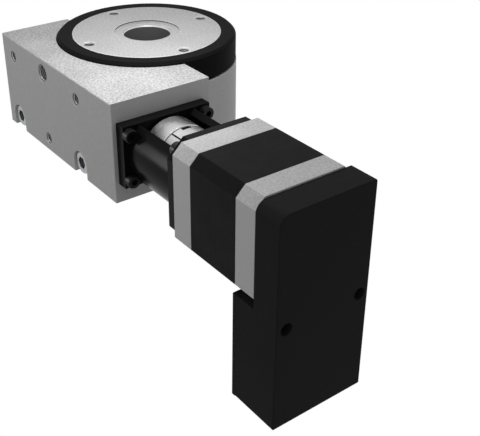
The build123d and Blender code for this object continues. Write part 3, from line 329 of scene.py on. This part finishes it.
finishes = {
    "milled_aluminium": blastedAluminium(),
    "cast_aluminium": castAluminium(),
    "black_anodised": blackAnodised(),
    "black_enamel": blackEnamel(),
    "turned_aluminium": turnedAluminium(),
    "black_laminations": blackLaminations(),
    "rotor_laminations": rotorLaminations(),
    "ground_steel": groundSteel(),
    "blackened_steel": blackenedSteel(),
    "zinc_steel": zincSteel(),
    "bearing_steel": bearingSteel(),
    "bronze": tinBronze(),
    "copper": windingCopper(),
    "magnet": platedMagnet(),
    "seal_rubber": sealRubber(),
    "dark_nylon": darkNylon(),
    "circuit_board": circuitBoard(),
    "capacitor_sleeve": capacitorSleeve(),
    "connector_plastic": connectorPlastic(),
}

# Broken edges, where handling has worn the metal bright, in a colour lighter than the block's that is also
# a painted highlight on the bevels and on the lip of the spindle's bore
wornEdgeAndHighlight = grainedFinish("wornEdgeAndHighlight", {
    "dark": "#d2d2d2", "light": "#ececec", "grain": 0.9, "cloud": 22.0, "fineShare": 0.5,
    "cloudShare": 0.25, "rough": 0.4, "metal": 0.15, "gloss": 0.25, "bump": 0.2, "depth": 0.02})

# Walls of tapped holes, of the shallow register in the disc and of the spindle's bore, darkened with
# painted shade, and the bore's lip with the worn edge and its painted highlight
walls = {
    "wornEdgeAndHighlight": wornEdgeAndHighlight,
    "tableThreadAndShade": shadedCutWall("tableThreadAndShade", {
        "axis": "Z", "pitch": 0.8, "dark": "#181818", "light": "#b8b8b8", "rough": 0.4, "metal": 0.3,
        "gloss": 0.2, "bump": 0.8, "depth": 0.25}),
    "sideThreadAndShade": shadedCutWall("sideThreadAndShade", {
        "axis": "X", "pitch": 0.8, "dark": "#303030", "light": "#d0d0d0", "rough": 0.4, "metal": 0.3,
        "gloss": 0.2, "bump": 0.8, "depth": 0.25}),
    "registerWallShade": shadedCutWall("registerWallShade", {
        "axis": "Z", "pitch": 0.35, "dark": "#5a5a5a", "light": "#6e6e6e", "rough": 0.4, "metal": 0.2,
        "gloss": 0.2, "bump": 0.3, "depth": 0.01}),
    "boredWallShade": shadedCutWall("boredWallShade", {
        "axis": "Z", "pitch": 0.35, "dark": "#606060", "light": "#747474", "rough": 0.4, "metal": 0.2,
        "gloss": 0.2, "bump": 0.3, "depth": 0.01}),
}

for nodeName, cadObject in cadNodes.items():
    cadObject.data.materials.clear()
    cadObject.data.materials.append(finishes[slotOf[nodeName]])
print("materials:", len(finishes) + len(walls))


# A piece riding on a body; nodes are the CAD nodes it takes the place of
def addPiece(mesh, name, body, slotName, *nodes):
    piece = bpy.data.objects.new(name, mesh)
    bpy.context.scene.collection.objects.link(piece)
    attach(piece, body)
    if nodes:
        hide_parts(*nodes)
    return piece


# Pieces whose finish differs from that of their slot, and pieces whose broken edges are worn bright and
# painted with a highlight
ownFinish = {"coupling_housing": smoothAnodised(), "table_plate": facedAluminium()}
edgeFinish = {"housing": wornEdgeAndHighlight, "table_plate": wornEdgeAndHighlight}

# Round walls with a finish of their own, painted shade in the holes and a painted highlight on the bore's
# lip: mouth, way in, radius, first and last depth, in millimetres
tableTopZ = 45.6
sideX = -53.5
downward, upward, inward = (0, 0, -1), (0, 0, 1), (1, 0, 0)


def fourRound(radius):
    return [(radius, 0), (-radius, 0), (0, radius), (0, -radius)]


holes = {
    "table_plate": [
        ("tableThreadAndShade", (x, y, tableTopZ), downward, 2.3, 0.3, 9.0) for x, y in fourRound(30)
    ] + [
        ("registerWallShade", (0, 0, tableTopZ), downward, 15.1, 0.2, 0.7),
        # painted highlight on the chamfered lip of the spindle's bore
        ("wornEdgeAndHighlight", (0, 0, tableTopZ), downward, 11.5, 0.85, 1.9),
        ("boredWallShade", (0, 0, tableTopZ), downward, 10.9, 1.9, 60.0),
    ],
    "housing": [
        ("sideThreadAndShade", (sideX, y, z), inward, radius, 0.2, 12.0)
        for y, z, radius in ((29.5, 35.7, 2.4), (-29.5, 35.7, 2.4), (0, 6.2, 2.4), (0, 37.4, 3.7))
    ],
    "base_plate": [
        ("tableThreadAndShade", (x, y, 0), upward, 2.3, 0.3, 12.0) for x, y in fourRound(29)
    ],
}


# Gives the faces inside each round wall their finish, with its painted shade or painted highlight
def markHoles(mesh, node):
    for finish, centre, axis, radius, start, stop in holes.get(node, ()):
        if finish not in mesh.materials:
            mesh.materials.append(walls[finish])
        index = mesh.materials.find(finish)
        middle = Vector(centre) * mm
        line = Vector(axis)
        for face in mesh.polygons:
            out = face.center - middle
            depth = out.dot(line)
            if start * mm < depth < stop * mm and (out - line * depth).length < radius * mm:
                face.material_index = index


# The mesh of an object with its modifiers applied; the object itself goes
def readMesh(name, holder):
    done = bpy.data.meshes.new_from_object(holder.evaluated_get(bpy.context.evaluated_depsgraph_get()))
    bpy.data.objects.remove(holder)
    done.name = name
    return done


def modifiedMesh(name, mesh, kind, **settings):
    holder = bpy.data.objects.new(name + "Shape", mesh)
    bpy.context.scene.collection.objects.link(holder)
    modifier = holder.modifiers.new("shape", kind)
    for setting, value in settings.items():
        setattr(modifier, setting, value)
    return readMesh(name, holder)


# A merged copy of a CAD node with its sharp edges broken, as a deburred or blasted edge is
def brokenEdges(node, name, edge):
    mesh = cadNodes[node].data.copy()
    work = bmesh.new()
    work.from_mesh(mesh)
    bmesh.ops.remove_doubles(work, verts=work.verts, dist=edge["merge"] * mm)
    bmesh.ops.dissolve_limit(
        work, angle_limit=math.radians(edge["flat"]), verts=work.verts, edges=work.edges)
    work.to_mesh(mesh)
    work.free()
    mesh.materials[0] = ownFinish.get(node, finishes[slotOf[node]])
    edgeIndex = -1
    if node in edgeFinish:
        mesh.materials.append(edgeFinish[node])
        edgeIndex = 1
    rounded = modifiedMesh(
        name, mesh, "BEVEL", width=edge["width"] * mm, segments=edge["segments"], limit_method="ANGLE",
        angle_limit=math.radians(edge["angle"]), use_clamp_overlap=True, material=edgeIndex)
    rounded.shade_smooth()
    rounded.set_sharp_from_angle(angle=math.radians(edge["smooth"]))
    # Weighted normals keep the flat faces evenly lit right up to their rounded edges
    done = modifiedMesh(name, rounded, "WEIGHTED_NORMAL", keep_sharp=True)
    markHoles(done, node)
    return addPiece(done, name, bodyOf[node], slotOf[node], node)


# New name of each piece with broken edges, and the width of the break in millimetres
edgeBreaks = {
    "housing": ("blockBody", 0.25),
    "table_rim": ("tableRim", 0.2),
    "table_plate": ("tableTop", 0.22),
    "coupling_housing": ("couplingBracket", 0.2),
    "coupling_worm_hub": ("wormHub", 0.12),
    "coupling_motor_hub": ("motorHub", 0.12),
    "motor_front_cap": ("frontCap", 0.3),
    "motor_rear_cap": ("rearCap", 0.3),
    "drive_case": ("driveCase", 0.2),
    "drive_cover": ("driveCover", 0.2),
    "base_plate": ("basePlate", 0.2),
}
edgeRules = {"merge": 0.002, "flat": 0.4, "segments": 2, "angle": 28.0, "smooth": 32.0}  # mm and degrees
for nodeName, (pieceName, width) in edgeBreaks.items():
    brokenEdges(nodeName, pieceName, {**edgeRules, "width": width})
print("edges broken on", len(edgeBreaks), "pieces")


# A named input of a tree; its identifier is what a modifier's value is set by
def addInput(tree, label, kind):
    return tree.interface.new_socket(label, in_out="INPUT", socket_type="NodeSocket" + kind).identifier


# Geometry Nodes: copies of one mesh in a straight row
def rowTree():
    tree = bpy.data.node_groups.new("row", "GeometryNodeTree")
    ids = {}
    for label, kind in (
        ("Piece", "Object"), ("Count", "Int"), ("Step", "Vector"), ("Finish", "Material"),
    ):
        ids[label] = addInput(tree, label, kind)
    tree.interface.new_socket("Geometry", in_out="OUTPUT", socket_type="NodeSocketGeometry")
    given = addNode(tree, "NodeGroupInput")
    source = addNode(tree, "GeometryNodeObjectInfo", {"Object": given.outputs["Piece"]})
    line = addNode(tree, "GeometryNodeMeshLine", {
        "Count": given.outputs["Count"], "Offset": given.outputs["Step"]}, mode="OFFSET")
    copies = addNode(tree, "GeometryNodeInstanceOnPoints", {
        "Points": line.outputs[0], "Instance": source.outputs["Geometry"]})
    real = addNode(tree, "GeometryNodeRealizeInstances", {"Geometry": copies.outputs[0]})
    dressed = addNode(tree, "GeometryNodeSetMaterial", {
        "Geometry": real.outputs[0], "Material": given.outputs["Finish"]})
    addNode(tree, "NodeGroupOutput", {"Geometry": dressed.outputs[0]})
    return tree, ids


# Geometry Nodes: a ring of small ridges round the head of each screw
def knurlTree():
    tree = bpy.data.node_groups.new("knurl", "GeometryNodeTree")
    ids = {}
    tree.interface.new_socket("Places", in_out="INPUT", socket_type="NodeSocketGeometry")
    for label, kind in (
        ("Count", "Int"), ("Radius", "Float"), ("Ridge", "Vector"), ("Lift", "Vector"),
        ("Tilt", "Rotation"), ("Finish", "Material"),
    ):
        ids[label] = addInput(tree, label, kind)
    tree.interface.new_socket("Geometry", in_out="OUTPUT", socket_type="NodeSocketGeometry")
    given = addNode(tree, "NodeGroupInput")
    ring = addNode(tree, "GeometryNodeMeshCircle", {
        "Vertices": given.outputs["Count"], "Radius": given.outputs["Radius"]})
    bar = addNode(tree, "GeometryNodeMeshCube", {"Size": given.outputs["Ridge"]})
    index = addNode(tree, "GeometryNodeInputIndex")
    share = addNode(tree, "ShaderNodeMath", {0: math.tau, 1: given.outputs["Count"]}, operation="DIVIDE")
    angle = addNode(tree, "ShaderNodeMath", {
        0: index.outputs[0], 1: share.outputs[0]}, operation="MULTIPLY")
    spin = addNode(tree, "ShaderNodeCombineXYZ", {"Z": angle.outputs[0]})
    ridges = addNode(tree, "GeometryNodeInstanceOnPoints", {
        "Points": ring.outputs[0], "Instance": bar.outputs[0], "Rotation": spin.outputs[0]})
    lifted = addNode(tree, "GeometryNodeTransform", {
        "Geometry": ridges.outputs[0], "Translation": given.outputs["Lift"]})
    heads = addNode(tree, "GeometryNodeInstanceOnPoints", {
        "Points": given.outputs["Places"], "Instance": lifted.outputs[0],
        "Rotation": given.outputs["Tilt"]})
    real = addNode(tree, "GeometryNodeRealizeInstances", {"Geometry": heads.outputs[0]})
    dressed = addNode(tree, "GeometryNodeSetMaterial", {
        "Geometry": real.outputs[0], "Material": given.outputs["Finish"]})
    addNode(tree, "NodeGroupOutput", {"Geometry": dressed.outputs[0]})
    return tree, ids


# The mesh that a tree makes, with its values set by identifier
def grownMesh(name, mesh, tree, values):
    holder = bpy.data.objects.new(name + "Source", mesh)
    bpy.context.scene.collection.objects.link(holder)
    modifier = holder.modifiers.new("nodes", "NODES")
    modifier.node_group = tree
    for socket, value in values.items():
        modifier[socket] = value
    return readMesh(name, holder)


# Stator: separate stamped sheets cut from the CAD outline, each with its outer edges just broken. Only
# edges farther than "outside" from the motor's axis are broken
stack = {
    "sheets": 52, "edge": 0.07, "length": 26.3, "outside": 19.5, "gap": 0.01, "axis": (-31, 0, 22),
    "merge": 0.002, "frontBand": 0.01, "level": 0.001,
}


def addStack(look):
    pitch = look["length"] / look["sheets"] * mm
    mesh = cadNodes["motor_stator"].data.copy()
    work = bmesh.new()
    work.from_mesh(mesh)
    bmesh.ops.remove_doubles(work, verts=work.verts, dist=look["merge"] * mm)
    front = max(v.co.y for v in work.verts)
    spare = [f for f in work.faces if any(v.co.y < front - look["frontBand"] * mm for v in f.verts)]
    bmesh.ops.delete(work, geom=spare, context="FACES")
    grown = bmesh.ops.extrude_face_region(work, geom=list(work.faces))
    backVerts = [v for v in grown["geom"] if isinstance(v, bmesh.types.BMVert)]
    bmesh.ops.translate(work, verts=backVerts, vec=(0, look["gap"] * mm - pitch, 0))
    bmesh.ops.recalc_face_normals(work, faces=work.faces)
    axis = Vector(look["axis"]) * mm
    rims = []
    for e in work.edges:
        middle = (e.verts[0].co + e.verts[1].co) / 2 - axis
        middle.y = 0
        level = abs(e.verts[0].co.y - e.verts[1].co.y) < look["level"] * mm
        square = len(e.link_faces) == 2 and e.calc_face_angle(0) > 1
        if level and square and middle.length > look["outside"] * mm:
            rims.append(e)
    bmesh.ops.bevel(work, geom=rims, offset=look["edge"] * mm, segments=1, affect="EDGES")
    work.to_mesh(mesh)
    work.free()
    sheet = bpy.data.objects.new("sheet", mesh)
    bpy.context.scene.collection.objects.link(sheet)
    tree, ids = rowTree()
    rows = grownMesh("statorSheets", bpy.data.meshes.new("empty"), tree, {
        ids["Piece"]: sheet, ids["Count"]: look["sheets"], ids["Step"]: (0, -pitch, 0),
        ids["Finish"]: finishes["black_laminations"]})
    bpy.data.objects.remove(sheet)
    addPiece(rows, "statorSheets", "root", "black_laminations", "motor_stator")


addStack(stack)
print("stator sheets done")

# Knurled heads: ridges half a millimetre apart, as on real cap screws, over a share of the head's height
ridge = {"across": 0.22, "along": 0.26, "share": 0.78, "foot": 0.1}
knurls = {
    "flangeKnurls": {
        "radius": 2.72, "height": 3.0, "count": 34, "tilt": (math.pi / 2, 0, 0), "slot": "blackened_steel",
        "places": [(x, -63.7, z) for x in (-49, -13.15) for z in (12.0, 32.0)]},
    "sideKnurls": {
        "radius": 4.95, "height": 6.0, "count": 60, "tilt": (0, -math.pi / 2, 0), "slot": "zinc_steel",
        "places": [(-46.7, y, 6.0) for y in (-29.3, 29.3)]},
}


def addKnurls(name, look, tree, ids):
    places = bpy.data.meshes.new(name + "Places")
    places.from_pydata([Vector(place) * mm for place in look["places"]], [], [])
    tall = look["height"] * ridge["share"]
    done = grownMesh(name, places, tree, {
        ids["Count"]: look["count"], ids["Radius"]: look["radius"] * mm,
        ids["Ridge"]: (ridge["across"] * mm, ridge["along"] * mm, tall * mm),
        ids["Lift"]: (0, 0, tall / 2 * mm + ridge["foot"] * mm),
        ids["Tilt"]: look["tilt"], ids["Finish"]: finishes[look["slot"]]})
    addPiece(done, name, "root", look["slot"])


knurlNodes, knurlInputs = knurlTree()
for pieceName, look in knurls.items():
    addKnurls(pieceName, look, knurlNodes, knurlInputs)
print("knurls done")


# Camera at the photograph's viewing angle; places in millimetres
camera = {
    "azimuth": -37.645, "elevation": 28.548, "roll": 0.697,
    "place": (-203.96, -335.5, 185.6), "lens": 67.016, "shiftY": -0.1, "sensor": 36,
    "near": 10, "far": 20000,
}


def addCamera(view):
    turn, rise, roll = (math.radians(view[angle]) for angle in ("azimuth", "elevation", "roll"))
    back = Vector((
        math.sin(turn) * math.cos(rise), -math.cos(turn) * math.cos(rise), math.sin(rise)))
    right = Vector((math.cos(turn), math.sin(turn), 0))
    up = back.cross(right)
    turned = Matrix((
        right * math.cos(roll) + up * math.sin(roll), up * math.cos(roll) - right * math.sin(roll), back))
    lens = bpy.data.cameras.new("camera")
    lens.lens = view["lens"]
    lens.sensor_width = view["sensor"]
    lens.shift_y = view["shiftY"]
    lens.clip_start = view["near"] * mm
    lens.clip_end = view["far"] * mm
    eye = bpy.data.objects.new("camera", lens)
    eye.matrix_world = Matrix.Translation(Vector(view["place"]) * mm) @ turned.transposed().to_4x4()
    bpy.context.scene.collection.objects.link(eye)
    bpy.context.scene.camera = eye


addCamera(camera)

# Studio: a pale floor below the hanging case, a soft lamp close above, and white behind the object for
# camera and gloss. The card stands behind on the left and is only seen as a reflection. Places and sizes
# are millimetres, powers watts
studio = {
    "floorHeight": -120.0, "floorSize": 6000.0, "floorColour": "#f2f2f2", "ambient": 0.33,
    "key": {"place": (-32, -48, 130), "aim": (-32, -48, 44), "size": (60, 60), "power": 0.091},
    "card": {"place": (-334, 198, 53), "aim": (-48, -80, 29), "size": (60, 140), "power": 0.6},
}


def addLamp(name, lamp):
    light = bpy.data.lights.new(name, "AREA")
    light.shape = "RECTANGLE"
    light.size = lamp["size"][0] * mm
    light.size_y = lamp["size"][1] * mm
    light.energy = lamp["power"]
    holder = bpy.data.objects.new(name, light)
    holder.visible_camera = False
    place = Vector(lamp["place"]) * mm
    aim = Vector(lamp["aim"]) * mm
    turn = (aim - place).to_track_quat("-Z", "Y").to_matrix().to_4x4()
    holder.matrix_world = Matrix.Translation(place) @ turn
    bpy.context.scene.collection.objects.link(holder)
    return holder


# 1 where a ray comes from the camera or a reflection, 0 where it lights a surface
def seenDirectly(tree):
    path = addNode(tree, "ShaderNodeLightPath")
    seen = addNode(tree, "ShaderNodeMath", {
        0: path.outputs["Is Camera Ray"], 1: path.outputs["Is Glossy Ray"]}, operation="MAXIMUM")
    return addNode(tree, "ShaderNodeMath", {
        0: seen.outputs[0], 1: path.outputs["Is Transmission Ray"]}, operation="MAXIMUM").outputs[0]


def addWorld(look):
    world = bpy.data.worlds.new("studio")
    bpy.context.scene.world = world
    world.use_nodes = True
    tree = world.node_tree
    tree.nodes.clear()
    strength = addNode(tree, "ShaderNodeMapRange", {
        "Value": seenDirectly(tree), "To Min": look["ambient"], "To Max": 1.0})
    background = addNode(tree, "ShaderNodeBackground", {
        "Color": (1, 1, 1, 1), "Strength": strength.outputs["Result"]})
    output = addNode(tree, "ShaderNodeOutputWorld")
    tree.links.new(background.outputs[0], output.inputs["Surface"])


def addFloor(look):
    half = look["floorSize"] / 2 * mm
    height = look["floorHeight"] * mm
    mesh = bpy.data.meshes.new("floor")
    corners = [(x, y, height) for x, y in ((-half, -half), (half, -half), (half, half), (-half, half))]
    mesh.from_pydata(corners, [], [(0, 1, 2, 3)])
    material, tree = newMaterial("floorPaper")
    paper = addNode(tree, "ShaderNodeBsdfDiffuse", {"Color": linear(look["floorColour"])})
    glow = addNode(tree, "ShaderNodeEmission", {"Color": (1, 1, 1, 1), "Strength": 1.0})
    white = addNode(tree, "ShaderNodeMixShader", {
        0: seenDirectly(tree), 1: paper.outputs[0], 2: glow.outputs[0]})
    closeMaterial(tree, white)
    mesh.materials.append(material)
    floor = bpy.data.objects.new("floor", mesh)
    bpy.context.scene.collection.objects.link(floor)


addWorld(studio)
addFloor(studio)
addLamp("key", studio["key"])
addLamp("card", studio["card"]).visible_diffuse = False
bpy.context.scene.view_settings.view_transform = "Standard"
print("studio ready")
